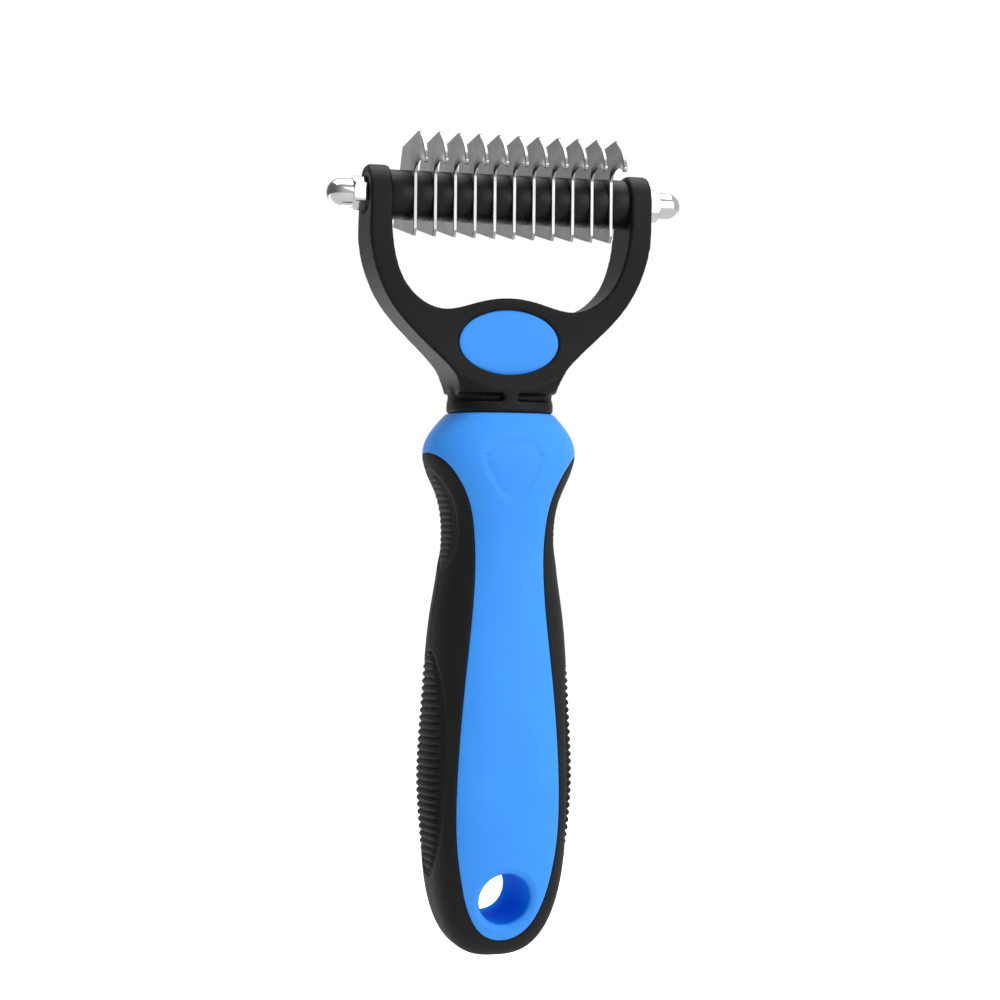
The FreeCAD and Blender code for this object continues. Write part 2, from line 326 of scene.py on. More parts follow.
OUTLINE_X, OUTLINE_Z = outline_curve()
TIP = float(OUTLINE_Z[-1])
OUTLINE_EDGE = np.stack([OUTLINE_X, front_depth(OUTLINE_X, OUTLINE_Z), OUTLINE_Z], -1)


def edge_distance(p):
    """Distance from points to the line where the panel and the grip meet."""
    q = p.reshape(-1, 3).copy()
    q[:, 0] = np.abs(q[:, 0])
    q[:, 1] = bow(q[:, 2]) - np.abs(q[:, 1] - bow(q[:, 2]))
    start, run = OUTLINE_EDGE[:-1], np.diff(OUTLINE_EDGE, axis=0)
    length = (run ** 2).sum(-1)
    found = np.empty(len(q))
    batch = 1000                # points at a time, to spare memory
    for first in range(0, len(q), batch):
        part = q[first:first + batch, None, :] - start[None]
        along = np.clip((part * run).sum(-1) / length, 0, 1)
        found[first:first + batch] = np.sqrt(((part - along[..., None] * run) ** 2).sum(-1).min(1))
    return found.reshape(p.shape[:-1])


def row_frames(x, z):
    """Centre, sideways reach and forward reach of the rows through points of the outline.

    Rows are level above the fan's height and fan out round the butt below.
    """
    level = z >= FAN_HEIGHT
    height = np.where(level, z, FAN_HEIGHT)
    width, depth, zero = half_width(height), half_depth(height), np.zeros_like(height)
    turn = np.where(level, 0.0, np.arctan2((FAN_HEIGHT - z) / FAN_LENGTH, np.abs(x) / width))
    side = np.where(x < 0, -1.0, 1.0)
    centre = np.stack([zero, bow(height), height], -1)
    reach = np.stack([side * width * np.cos(turn), zero, -FAN_LENGTH * np.sin(turn)], -1)
    fore = np.stack([zero, -depth, zero], -1)
    inward = np.hypot(x, z - height) / np.linalg.norm(reach, axis=-1)
    edge_angle = np.arctan2((bow(height) - front_depth(x, z)) / depth, inward)
    return centre, reach, fore, edge_angle


def row_points(centre, reach, fore, angles):
    """Points of the surface at angles along each row."""
    ray = np.cos(angles)[..., None] * reach[:, None] + np.sin(angles)[..., None] * fore[:, None]
    return cast(centre[:, None], ray)


def spread(frames, start, end, columns, steps):
    """Points along rows between two angles: evenly spaced, with close steps in from both ends."""
    centre, reach, fore = frames
    share = np.linspace(0, 1, 161)
    angles = start[:, None] + (end - start)[:, None] * share
    fine = row_points(centre, reach, fore, angles)
    gaps = np.linalg.norm(np.diff(fine, axis=1), axis=-1)
    travel = np.concatenate([np.zeros((len(start), 1)), np.cumsum(gaps, 1)], 1)
    chosen = np.empty((len(start), columns))
    inner = columns - 2 * len(steps) + 2
    for r, length in enumerate(travel[:, -1]):
        near = np.array(steps) * min(1.0, length / (8 * steps[-1]))
        between = np.linspace(near[-1], length - near[-1], inner)
        stops = np.concatenate([near[:-1], between, length - near[-2::-1]])
        chosen[r] = np.interp(stops, travel[r], angles[r])
    return row_points(centre, reach, fore, chosen)


# ---------------------------------------------------------------- handle core

def pad_drop(p):
    """Depth of the thumb pad's recess at points of the front panel."""
    x, z = p[..., 0], p[..., 2] - PAD_HEIGHT
    turn = np.arctan2(x, z)
    border = PAD_RADIUS * (1 - PAD_CORNERS * np.cos(3 * turn))
    inside = border - np.hypot(x, z)
    groove_reach, groove_depth = PAD_GROOVE
    groove = groove_depth * np.exp(-(inside / groove_reach) ** 2)
    return PAD_DEPTH * (ease(inside / PAD_EDGE + 0.5) + groove)


def arch_heights(span, count):
    """Heights that close in on the tip of the panel's arch from a span below it."""
    return TIP - span * np.linspace(1, 0, count + 1)[1:] ** ARCH_CLOSING


def panel_rows():
    """Heights of the panel's rows above the hole's rings, up to the arch's tip and above it."""
    head_foot, arch_span = 88.0, 2.5
    body = np.linspace(HOLE_RING_TOP, head_foot, 60)
    head = np.linspace(head_foot, TIP - arch_span, 26)[1:]
    steps = TIP + np.array(SHOULDER_STEPS)
    top = np.concatenate([steps[:-1], np.linspace(steps[-1], HANDLE_TOP - TOP_EDGE, 14)])
    return np.concatenate([body, head, arch_heights(arch_span, 14)]), top


def finish_front(p, rim_radius):
    """Rounds the panel's edge off and sinks the thumb pad."""
    drop = fillet(edge_distance(p), rim_radius) + pad_drop(p)
    return p - outward(p) * drop[..., None]


def finish_back(p, rim_radius):
    """Rounds the panel's edge off on the handle's other face."""
    return mirror_depth(p - outward(p) * fillet(edge_distance(p), rim_radius)[..., None])


def handle_core(material):
    """Blue core: its panels in front and behind, the hanging hole, the shoulder and the top."""
    skin = Skin()
    lower, upper = panel_rows()
    heights = np.concatenate([lower, upper])
    outline_x = np.interp(np.minimum(heights, TIP), OUTLINE_Z, OUTLINE_X)
    centre, reach, fore, edge = row_frames(outline_x, heights)
    edge[len(lower) - 1:] = 0.0
    rows = spread((centre, reach, fore), math.pi - edge, edge, 57, EDGE_STEPS)

    # rings round the hole, out to the outline and to the lowest level row
    corner = int(np.searchsorted(OUTLINE_Z, HOLE_RING_TOP))
    side_x, side_z = OUTLINE_X[:corner], OUTLINE_Z[:corner]
    travel = lengths_along(side_x, side_z)
    stops = np.linspace(0, travel[-1], 48)
    right_x, right_z = np.interp(stops, travel, side_x), np.interp(stops, travel, side_z)
    right_x[-1], right_z[-1] = outline_x[0], HOLE_RING_TOP
    border_x = np.concatenate([rows[0, ::-1, 0], -right_x[-2::-1], right_x[1:-1]])
    border_z = np.concatenate([np.full(rows.shape[1], HOLE_RING_TOP), right_z[-2::-1], right_z[1:-1]])
    turn = np.arctan2(border_z, border_x)
    rim = HOLE_RIM[0][0]
    share = np.array(HOLE_RING_SHARES)[:, None]
    ring_x = rim * np.cos(turn) * (1 - share) + border_x * share
    ring_z = rim * np.sin(turn) * (1 - share) + border_z * share
    rings = np.stack([ring_x, front_depth(ring_x, ring_z), ring_z], -1)

    funnel = []
    for radius, depth in HOLE_RIM:
        x, z = radius * np.cos(turn), radius * np.sin(turn)
        funnel.append(np.stack([x, front_depth(x, z) + depth, z], -1))
    funnel = np.array(funnel)

    for finish in (finish_front, finish_back):
        skin.grid(finish(rows, CORE_EDGE))
        skin.grid(finish(rings, CORE_EDGE), wrap=True)
    skin.grid(funnel, wrap=True)
    skin.grid(mirror_depth(funnel), wrap=True)
    skin.grid(np.array([funnel[-1], mirror_depth(funnel[-1])]), wrap=True)

    # sides hidden under the grip
    levels = len(lower)
    level_x = outline_x[:levels]
    strip_x = np.concatenate([-level_x[::-1], -right_x[-2::-1], right_x[1:-1], level_x])
    strip_z = np.concatenate([lower[::-1], right_z[-2::-1], right_z[1:-1], lower])
    centre, reach, fore, edge = row_frames(strip_x, strip_z)
    edge[[0, -1]] = 0.0
    strip = spread((centre, reach, fore), edge, -edge, 11, (0.0, 0.2))
    normal = outward(strip)
    hidden = strip - normal * GRIP_WALL
    hidden[:, 0] = strip[:, 0] - normal[:, 0] * CORE_EDGE
    hidden[:, -1] = strip[:, -1] - normal[:, -1] * CORE_EDGE
    skin.grid(hidden)

    # rounded top edge and flat top
    ring = np.concatenate([rows[-1], mirror_depth(rows[-1])[-2:0:-1]])
    middle = bow(HANDLE_TOP)
    edge_rings = []
    for turn_up in np.linspace(0, math.pi / 2, 6):
        rounding = 1 - TOP_ROUNDING * (1 - math.cos(turn_up))
        narrower, thinner = (rounding * (1 - taper * math.sin(turn_up)) for taper in TOP_TAPERS)
        raised = ring.copy()
        raised[:, 0] *= narrower
        raised[:, 1] = middle + (ring[:, 1] - middle) * thinner
        raised[:, 2] = HANDLE_TOP - TOP_EDGE * (1 - math.sin(turn_up))
        edge_rings.append(raised)
    skin.grid(np.array(edge_rings), wrap=True)
    skin.face(list(edge_rings[-1]))
    skin.points = curl_back(skin.points)
    return skin.build("handle_core_moulded", "handle", "handle_blue", ["handle_core"], material)


# ---------------------------------------------------------------- grip

def rib_relief(z, depth, centre, up, down, half, roundness, margin, pitch, first, tilt, height):
    """Height of one ribbed recess at places seen from the side."""
    def reach(place):
        run = np.abs(place - centre) / np.where(place > centre, up, down)
        return half * (1 - np.clip(run, 0, 0.999) ** roundness) ** (1 / roundness)

    slope = (reach(z + 0.1) - reach(z - 0.1)) / 0.2
    beyond = np.maximum(np.abs(z - centre) - np.where(z > centre, up, down), 0)
    inside = (reach(z) - np.abs(depth)) / np.sqrt(1 + slope ** 2) - beyond
    phase = (z - first + tilt * depth) / pitch
    wave = (0.5 + 0.5 * np.cos(2 * math.pi * phase)) ** RIB_ROUNDNESS
    ribs = ease((inside - margin) / RIB_FADE)
    return -RECESS_DEPTH * ease(inside / RECESS_BEVEL) + height * wave * ribs


def grip_relief(p):
    """Height of the grip's recesses, ribs and crease above its outer form."""
    z, depth = p[..., 2], p[..., 1] - bow(p[..., 2])
    low, low_full, high_full, high = CREASE_SPAN
    fade = ease((z - low) / (low_full - low)) * ease((high - z) / (high - high_full))
    crease = CREASE_HEIGHT * np.exp(-(depth / CREASE_WIDTH) ** 2) * fade
    return rib_relief(z, depth, **LOWER_RIBS) + rib_relief(z, depth, **UPPER_RIBS) + crease


def grip(material):
    """Soft black grip: its ribbed outside, its hidden inside, and its edges along the panel."""
    # stations along the panel's outline, closest where the ribs are
    levels = [np.arange(*row) for row in GRIP_ROWS]
    level_foot, level_top = GRIP_ROWS[0][0], GRIP_ROWS[-1][1]
    arch_span = 1.0
    levels += [np.linspace(level_top, TIP - arch_span, 12)[:-1], arch_heights(arch_span, 15)]
    heights = np.concatenate(levels)
    foot = OUTLINE_Z < level_foot
    foot_x, foot_z = OUTLINE_X[foot], OUTLINE_Z[foot]
    travel = lengths_along(foot_x, foot_z)
    stops = np.linspace(0, travel[-1], 46)[:-1]
    x = np.concatenate([np.interp(stops, travel, foot_x), np.interp(heights, OUTLINE_Z, OUTLINE_X)])
    z = np.concatenate([np.interp(stops, travel, foot_z), heights])
    x, z = np.concatenate([-x[:0:-1], x]), np.concatenate([z[:0:-1], z])

    centre, reach, fore, edge = row_frames(x, z)
    edge[[0, -1]] = 0.0
    frames = (centre, reach, fore)
    outer = spread(frames, edge, -edge, 76, EDGE_STEPS)
    inner = spread(frames, edge, -edge, 9, (0.0, 0.3))
    drop = np.zeros(outer.shape[:2])
    near = np.r_[0:8, outer.shape[1] - 8:outer.shape[1]]
    drop[:, near] = fillet(edge_distance(outer[:, near]), GRIP_EDGE)
    outer_skin = outer + outward(outer) * (grip_relief(outer) - drop)[..., None]
    inner_skin = inner - outward(inner) * GRIP_WALL

    skin = Skin()
    skin.grid(outer_skin)
    skin.grid(inner_skin)
    for side in (0, -1):
        skin.grid(np.stack([outer_skin[:, side], inner_skin[:, side]], 1))
    skin.points = curl_back(skin.points)
    return skin.build("grip_moulded", "handle", "grip_black", ["grip_overmould"], material, sharp=60)


# ---------------------------------------------------------------- yoke and badge

YOKE_VOXEL = 0.36
YOKE_SMOOTHING = 7


def yoke(material):
    """The fork with its moulded, rounded edges, made from a copy of the CAD node's mesh."""
    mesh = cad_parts["yoke"].data.copy()
    mesh.name = "yoke_moulded"
    mesh.materials.clear()
    b = bmesh.new()
    b.from_mesh(mesh)
    bmesh.ops.remove_doubles(b, verts=b.verts, dist=1e-3 * MM)
    b.to_mesh(mesh)
    b.free()
    piece = place(mesh, "yoke_moulded", "handle", "yoke_black", ["yoke"], material, 50)
    remesh = piece.modifiers.new("moulding", "REMESH")
    remesh.mode = "VOXEL"
    remesh.voxel_size = YOKE_VOXEL * MM
    remesh.use_smooth_shade = True
    soften = piece.modifiers.new("rounded_edges", "SMOOTH")
    soften.factor = 0.5
    soften.iterations = YOKE_SMOOTHING
    evaluated = piece.evaluated_get(bpy.context.evaluated_depsgraph_get())
    final = bpy.data.meshes.new_from_object(evaluated)
    piece.modifiers.clear()
    piece.data = final
    final.name = "yoke_moulded"
    return piece


# Face of the badge from its rim to its middle: (share of the oval's size, height above the rim's foot).
BADGE_FACE = [
    (1.0, 0.0), (1.0, 0.15), (0.995, 0.3), (0.98, 0.4), (0.955, 0.46),
    (0.8, 0.5), (0.6, 0.53), (0.4, 0.55), (0.2, 0.56), (0.06, 0.565),
]
BADGE_CROWN = 0.57


def badge(material):
    """Oval insert with a rounded rim and a slightly crowned face."""
    low, high = (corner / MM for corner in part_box("oval_badge"))
    centre, half = (low + high) / 2, (high - low) / 2
    turns = np.linspace(0, 2 * math.pi, 96, endpoint=False)

    def oval(share, y):
        x = centre.x + half.x * share * np.cos(turns)
        z = centre.z + half.z * share * np.sin(turns)
        return np.stack([x, np.full(len(turns), y), z], -1)

    rings = [oval(1.0, high.y)]
    for share, rise in BADGE_FACE:
        rings.append(oval(share, low.y + BADGE_CROWN - rise))
    skin = Skin()
    skin.grid(np.array(rings), wrap=True)
    skin.face(list(rings[0]))
    skin.face(list(rings[-1]))
    return skin.build("oval_badge_crowned", "handle", "badge_blue", ["oval_badge"], material)


# ---------------------------------------------------------------- blade pack

AXLE_Y, AXLE_Z = ((a + b) / 2 / MM for a, b in list(zip(*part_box("axle")))[1:])


def lathe(profile, turns=48):
    """Rings round the axle for rows of (place along X, radius)."""
    angles = np.linspace(0, 2 * math.pi, turns, endpoint=False)
    rings = []
    for x, radius in profile:
        radii = radius(angles) if callable(radius) else np.full(turns, radius)
        along = x(angles) if callable(x) else np.full(turns, x)
        rings.append(np.stack([along, AXLE_Y + radii * np.cos(angles), AXLE_Z + radii * np.sin(angles)], -1))
    return np.array(rings)


SPACER_BORE = 2.56
SPACER_EDGE = 0.16
SPACER_ROUNDING = 0.3       # share of the edge's size at its middle point


def spacer(number, material):
    """Moulded sleeve with slightly rounded ends."""
    node = "spacer_%02d" % number
    low, high = (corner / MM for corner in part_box(node))
    radius, edge = (high.z - low.z) / 2, SPACER_EDGE
    rounded = SPACER_ROUNDING * edge
    half = [
        (low.x, SPACER_BORE),
        (low.x, radius - edge),
        (low.x + rounded, radius - rounded),
        (low.x + edge, radius),
    ]
    other = [(low.x + high.x - x, r) for x, r in reversed(half)]
    skin = Skin()
    skin.grid(lathe(half + other + half[:1]), wrap=True)
    return skin.build(node + "_moulded", "blade_pack", "spacer_black", [node], material, sharp=30)


# Blade seen from its side, from the axle: (depth, height). The notch is the cutting edge.
BLADE_TIP = [(-9.2, 13.6), (-10.6, 13.35), (-11.5, 12.7)]
BLADE_BROW = [(-11.5, 12.7), (-14.6, 10.1), (-16.4, 6.9)]
BLADE_POINT = [(-16.4, 6.9), (-16.4, 5.9), (-15.5, 5.6)]
BLADE_NOTCH = [(-15.5, 5.6), (-13.3, 6.6), (-10.6, 7.0), (-7.9, 6.3), (-6.1, 4.4)]
BLADE_CORNERS = [(-6.1, 4.4), (-6.1, -8.3), (-4.9, -9.85), (14.9, -5.9), (5.7, 12.1), (-9.2, 13.6)]
EDGE_BEVEL = 0.12
GROUND_BEVEL = 1.9
GROUND_EDGE = 0.3           # share of the blade's thickness left at the ground edge
KEY_RADIUS = 2.53
KEY_FLAT = 2.13             # half the distance between the hole's two flats


def arc_through(points, count):
    """Points on the circle through three points, without the last."""
    (ax, ay), (bx, by), (cx, cy) = points
    d = 2 * (ax * (by - cy) + bx * (cy - ay) + cx * (ay - by))
    a2, b2, c2 = ax * ax + ay * ay, bx * bx + by * by, cx * cx + cy * cy
    ox = (a2 * (by - cy) + b2 * (cy - ay) + c2 * (ay - by)) / d
    oy = (a2 * (cx - bx) + b2 * (ax - cx) + c2 * (bx - ax)) / d
    start, end = math.atan2(ay - oy, ax - ox), math.atan2(cy - oy, cx - ox)
    middle = math.atan2(by - oy, bx - ox)
    if not (min(start, end) <= middle <= max(start, end)):
        end += math.copysign(2 * math.pi, start - end)
    radius = math.hypot(ax - ox, ay - oy)
    turns = np.linspace(start, end, count, endpoint=False)
    return np.stack([ox + radius * np.cos(turns), oy + radius * np.sin(turns)], -1)


def blade_outline():
    """Outline points, and how far each belongs to the ground cutting edge, from 0 to 1."""
    notch_y, notch_z = zip(*BLADE_NOTCH)
    share = np.linspace(0, len(BLADE_NOTCH) - 1, 33)[:-1]
    places = range(len(BLADE_NOTCH))
    notch = np.stack([smooth_curve(places, notch_y)(share), smooth_curve(places, notch_z)(share)], -1)
    arcs = [arc_through(BLADE_TIP, 6), arc_through(BLADE_BROW, 10), arc_through(BLADE_POINT, 8)]
    straights = []
    for a, b in zip(BLADE_CORNERS, BLADE_CORNERS[1:]):
        straights.append(np.array(a) + np.linspace(0, 1, 7)[:-1, None] * (np.array(b) - np.array(a)))
    points = np.concatenate(arcs + [notch] + straights)
    ground = np.zeros(len(points))
    first, count = sum(len(arc) for arc in arcs), len(notch)
    fade_in, fade_out = ease(np.linspace(0, 4, count)), ease(np.linspace(5, 0, count))
    ground[first:first + count] = np.minimum(fade_in, fade_out)
    return points, ground


def inset(points, widths):
    """Outline moved inwards by a width at each point."""
    before, after = np.roll(points, 1, axis=0), np.roll(points, -1, axis=0)
    run = (after - before) / np.linalg.norm(after - before, axis=1, keepdims=True)
    area = np.sum(points[:, 0] * after[:, 1] - after[:, 0] * points[:, 1])
    normal = np.stack([-run[:, 1], run[:, 0]], -1) * math.copysign(1, area)
    return points + normal * widths[:, None]


def key_hole(count=40):
    """Outline of the hole that keys a blade to the axle."""
    turns = np.linspace(0, 2 * math.pi, count, endpoint=False)
    ring = KEY_RADIUS * np.stack([np.cos(turns), np.sin(turns)], -1)
    ring[:, 0] = np.clip(ring[:, 0], -KEY_FLAT, KEY_FLAT)
    return ring


def blade(number, material):
    """Hooked blade with fine bevels all round and a wide ground bevel along its notch."""
    node = "blade_%02d" % number
    low, high = (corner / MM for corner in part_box(node))
    middle, half = (low.x + high.x) / 2, (high.x - low.x) / 2
    outline, ground = blade_outline()
    hole = key_hole()
    steps = 5
    b = bmesh.new()

    def ring(points, x):
        places = np.broadcast_to(x, (len(points),))
        return [b.verts.new(Vector((u, AXLE_Y + y, AXLE_Z + z)) * MM) for u, (y, z) in zip(places, points)]

    def bridge(first, second):
        for i in range(len(first)):
            j = (i + 1) % len(first)
            b.faces.new([first[i], first[j], second[j], second[i]])

    sides = []
    for sign in (-1, 1):
        layers = []
        for step in range(steps + 1):
            run = step / steps
            width = (EDGE_BEVEL + (GROUND_BEVEL - EDGE_BEVEL) * ground) * (1 - run)
            edge = (half - EDGE_BEVEL) * (1 - ground) + half * GROUND_EDGE * ground
            rise = half + (edge - half) * (run ** 2 * ground + run * (1 - ground))
            layers.append(ring(inset(outline, width), middle + sign * rise))
        for a, c in zip(layers, layers[1:]):
            bridge(a, c)
        rim = ring(hole, middle + sign * half)
        edges = []
        for loop in (layers[0], rim):
            for i in range(len(loop)):
                pair = (loop[i], loop[(i + 1) % len(loop)])
                edges.append(b.edges.get(pair) or b.edges.new(pair))
        bmesh.ops.triangle_fill(b, use_beauty=True, edges=edges)
        sides.append((layers[-1], rim))
    bridge(sides[0][0], sides[1][0])
    bridge(sides[0][1], sides[1][1])
    bmesh.ops.recalc_face_normals(b, faces=b.faces)
    mesh = bpy.data.meshes.new(node + "_ground")
    b.to_mesh(mesh)
    b.free()
    return place(mesh, node + "_ground", "blade_pack", "blade_steel", [node], material, 24)


NUT_CHAMFER = 0.55
NUT_FOOT_CHAMFER = 0.6      # the foot's chamfer as a share of the one under the dome
NUT_CORNER_BLUNT = 0.08
NUT_HEX_LENGTH = 3.8
NUT_BORE = 2.02
NUT_BORE_DEPTH = 6.6
DOME_RADIUS = 3.25
DOME_FOOT = 0.12            # fillet where the dome meets the hexagon


def cap_nut(side, material):
    """Chamfered hexagon with a domed cap; a corner of the hexagon faces forward."""
    node = "cap_nut_left" if side < 0 else "cap_nut_right"
    low, high = (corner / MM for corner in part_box(node))
    seat, tip = (high.x, low.x) if side < 0 else (low.x, high.x)
    flats = (high.z - low.z) / 2
    corner = 2 * flats / math.sqrt(3)

    def hexagon(angles):
        from_flat = (angles + math.pi / 6) % (math.pi / 3) - math.pi / 6
        return np.minimum(flats / np.cos(from_flat), corner - NUT_CORNER_BLUNT)

    flat_end = corner - NUT_CHAMFER

    def chamfered(angles):
        return seat + side * (NUT_HEX_LENGTH - np.maximum(hexagon(angles) - flat_end, 0))

    def foot(angles):
        return seat + side * NUT_FOOT_CHAMFER * np.maximum(hexagon(angles) - flat_end, 0)

    end = seat + side * NUT_HEX_LENGTH
    profile = [(seat, NUT_BORE), (seat, flat_end), (foot, hexagon), (chamfered, hexagon), (end, flat_end)]
    profile += [(end, DOME_RADIUS + DOME_FOOT), (end + side * DOME_FOOT, DOME_RADIUS)]
    centre = tip - side * DOME_RADIUS
    smallest = 0.02         # the last ring stays open for the face that closes it
    for turn in np.linspace(0, math.pi / 2, 13):
        radius = max(DOME_RADIUS * math.cos(turn), smallest)
        profile.append((centre + side * DOME_RADIUS * math.sin(turn), radius))
    skin = Skin()
    rings = lathe(profile, 72)
    skin.grid(rings, wrap=True)
    skin.face(list(rings[-1]))
    bore = lathe([(seat, NUT_BORE), (seat + side * NUT_BORE_DEPTH, NUT_BORE)], 72)
    skin.grid(bore, wrap=True)
    skin.face(list(bore[-1]))
    return skin.build(node + "_chromed", "blade_pack", "nut_chrome", [node], material, sharp=20)


# ---------------------------------------------------------------- materials

# Sizes of the materials' features, in millimetres.
DRIFT_SIZE = 14.0           # tone drift of plastic
WAVE_SIZE = 9.0             # sink waves of plastic
PATCH_SIZE = 5.0            # uneven polish of metal
NOISE_RANGE = (0.3, 0.7)    # nearly all of a noise's values lie in this range


def new_material(name):
    """Empty principled material, with its nodes, links, shader and place in the piece."""
    material = bpy.data.materials.new(name)
    material.use_nodes = True
    nodes = material.node_tree.nodes
    shader = next(n for n in nodes if n.type == "BSDF_PRINCIPLED")
    place_node = nodes.new("ShaderNodeTexCoord")
    return material, nodes, material.node_tree.links, shader, place_node.outputs["Object"]


def noise(nodes, links, vector, size, stretch=(1, 1, 1), detail=3.0):
    """Noise with features of about the given size in millimetres."""
    mapping = nodes.new("ShaderNodeMapping")
    mapping.inputs["Scale"].default_value = [1 / (size * MM * factor) for factor in stretch]
    links.new(vector, mapping.inputs["Vector"])
    texture = nodes.new("ShaderNodeTexNoise")
    texture.inputs["Scale"].default_value = 1.0
    texture.inputs["Detail"].default_value = detail
    links.new(mapping.outputs["Vector"], texture.inputs["Vector"])
    return texture.outputs["Fac"]


def spread_value(nodes, links, value, low, high):
    """Maps noise from its usual range onto the range given."""
    ramp = nodes.new("ShaderNodeMapRange")
    ramp.inputs["From Min"].default_value, ramp.inputs["From Max"].default_value = NOISE_RANGE
    ramp.inputs["To Min"].default_value = low
    ramp.inputs["To Max"].default_value = high
    links.new(value, ramp.inputs["Value"])
    return ramp.outputs["Result"]


def smooth_range(nodes, links, value, source, target):
    """Eased change from one value to another as the input crosses its range."""
    ramp = nodes.new("ShaderNodeMapRange")
    ramp.interpolation_type = "SMOOTHSTEP"
    ramp.inputs["From Min"].default_value, ramp.inputs["From Max"].default_value = source
    ramp.inputs["To Min"].default_value, ramp.inputs["To Max"].default_value = target
    links.new(value, ramp.inputs["Value"])
    return ramp.outputs["Result"]


def two_tone(nodes, links, value, first, second):
    """Colour between two shades by noise."""
    ramp = nodes.new("ShaderNodeValToRGB")
    ramp.color_ramp.elements[0].position, ramp.color_ramp.elements[1].position = NOISE_RANGE
    ramp.color_ramp.elements[0].color = (*first, 1)
    ramp.color_ramp.elements[1].color = (*second, 1)
    links.new(value, ramp.inputs["Fac"])
    return ramp.outputs["Color"]


def bumps(nodes, links, shader, layers):
    """Chains bump layers of (height, depth in millimetres)."""
    normal = None
    for height, depth in layers:
        bump = nodes.new("ShaderNodeBump")
        bump.inputs["Distance"].default_value = depth * MM
        links.new(height, bump.inputs["Height"])
        if normal is not None:
            links.new(normal, bump.inputs["Normal"])
        normal = bump.outputs["Normal"]
    links.new(normal, shader.inputs["Normal"])


def plastic(name, shades, rough, specular, grain, grain_depth, wave_depth):
    """Moulded plastic: slight tone drift, a fine spark-eroded grain, and very shallow sink waves."""
    material, nodes, links, shader, vector = new_material(name)
    drift = noise(nodes, links, vector, DRIFT_SIZE)
    fine = noise(nodes, links, vector, grain, detail=2.0)
    waves = noise(nodes, links, vector, WAVE_SIZE, detail=1.0)
    links.new(two_tone(nodes, links, drift, *shades), shader.inputs["Base Color"])
    links.new(spread_value(nodes, links, fine, *rough), shader.inputs["Roughness"])
    shader.inputs["Specular IOR Level"].default_value = specular
    bumps(nodes, links, shader, [(fine, grain_depth), (waves, wave_depth)])
    return material


def steel(name, shades, rough, grind, grind_depth, stretch):
    """Bright metal with fine grinding lines and a little uneven polish."""
    material, nodes, links, shader, vector = new_material(name)
    patches = noise(nodes, links, vector, PATCH_SIZE)
    lines = noise(nodes, links, vector, grind, stretch, detail=3.0)
    links.new(two_tone(nodes, links, patches, *shades), shader.inputs["Base Color"])
    links.new(spread_value(nodes, links, lines, *rough), shader.inputs["Roughness"])
    shader.inputs["Metallic"].default_value = 1.0
    bumps(nodes, links, shader, [(lines, grind_depth)])
    return material


BORE_REACH = (6.45, 6.1)        # the hole's wall lies within this distance of its axis
# painted shade: a deeper blue that stands in for the shade inside the hanging hole
BORE_PAINTED_SHADE = (0.0, 0.28, 0.92)


def named(sockets, identifier):
    """The socket with this identifier."""
    return next(socket for socket in sockets if socket.identifier == identifier)


def paint_shade_in_bore(material):
    """Paints shade onto the wall of the hanging hole as a deeper blue, and makes the wall duller."""
    nodes, links = material.node_tree.nodes, material.node_tree.links
    shader = nodes["Principled BSDF"]
    place_node = next(n for n in nodes if n.type == "TEX_COORD")
    across = nodes.new("ShaderNodeVectorMath")
    across.operation = "MULTIPLY"
    across.inputs[1].default_value = (1.0, 0.0, 1.0)
    links.new(place_node.outputs["Object"], across.inputs[0])
    distance = nodes.new("ShaderNodeVectorMath")
    distance.operation = "LENGTH"
    links.new(across.outputs["Vector"], distance.inputs[0])
    far, near = (reach * MM for reach in BORE_REACH)
    # mask of the hole's wall, where the painted shade goes
    bore = smooth_range(nodes, links, distance.outputs["Value"], (near, far), (1.0, 0.0))
    mix = nodes.new("ShaderNodeMix")
    mix.data_type = "RGBA"
    links.new(bore, mix.inputs["Factor"])
    links.new(shader.inputs["Base Color"].links[0].from_socket, named(mix.inputs, "A_Color"))
    named(mix.inputs, "B_Color").default_value = (*BORE_PAINTED_SHADE, 1)
    links.new(named(mix.outputs, "Result_Color"), shader.inputs["Base Color"])
    gloss = shader.inputs["Specular IOR Level"].default_value
    duller = smooth_range(nodes, links, bore, (0.0, 1.0), (gloss, 0.0))
    links.new(duller, shader.inputs["Specular IOR Level"])


# Two shades that each plastic drifts between.
BLUE = ((0.052, 0.315, 0.965), (0.058, 0.335, 0.985))
GRIP_BLACK = ((0.0088, 0.0088, 0.009), (0.011, 0.0109, 0.0109))
YOKE_BLACK = ((0.006, 0.006, 0.0062), (0.0078, 0.0077, 0.0077))
SPACER_BLACK = ((0.006, 0.006, 0.0062), (0.0085, 0.0084, 0.0084))

# Two shades that each metal's patches vary between.
BLADE_METAL = ((0.33, 0.33, 0.335), (0.42, 0.42, 0.425))
AXLE_METAL = ((0.42, 0.42, 0.43), (0.52, 0.52, 0.53))
CHROME = ((0.56, 0.56, 0.57), (0.66, 0.66, 0.67))


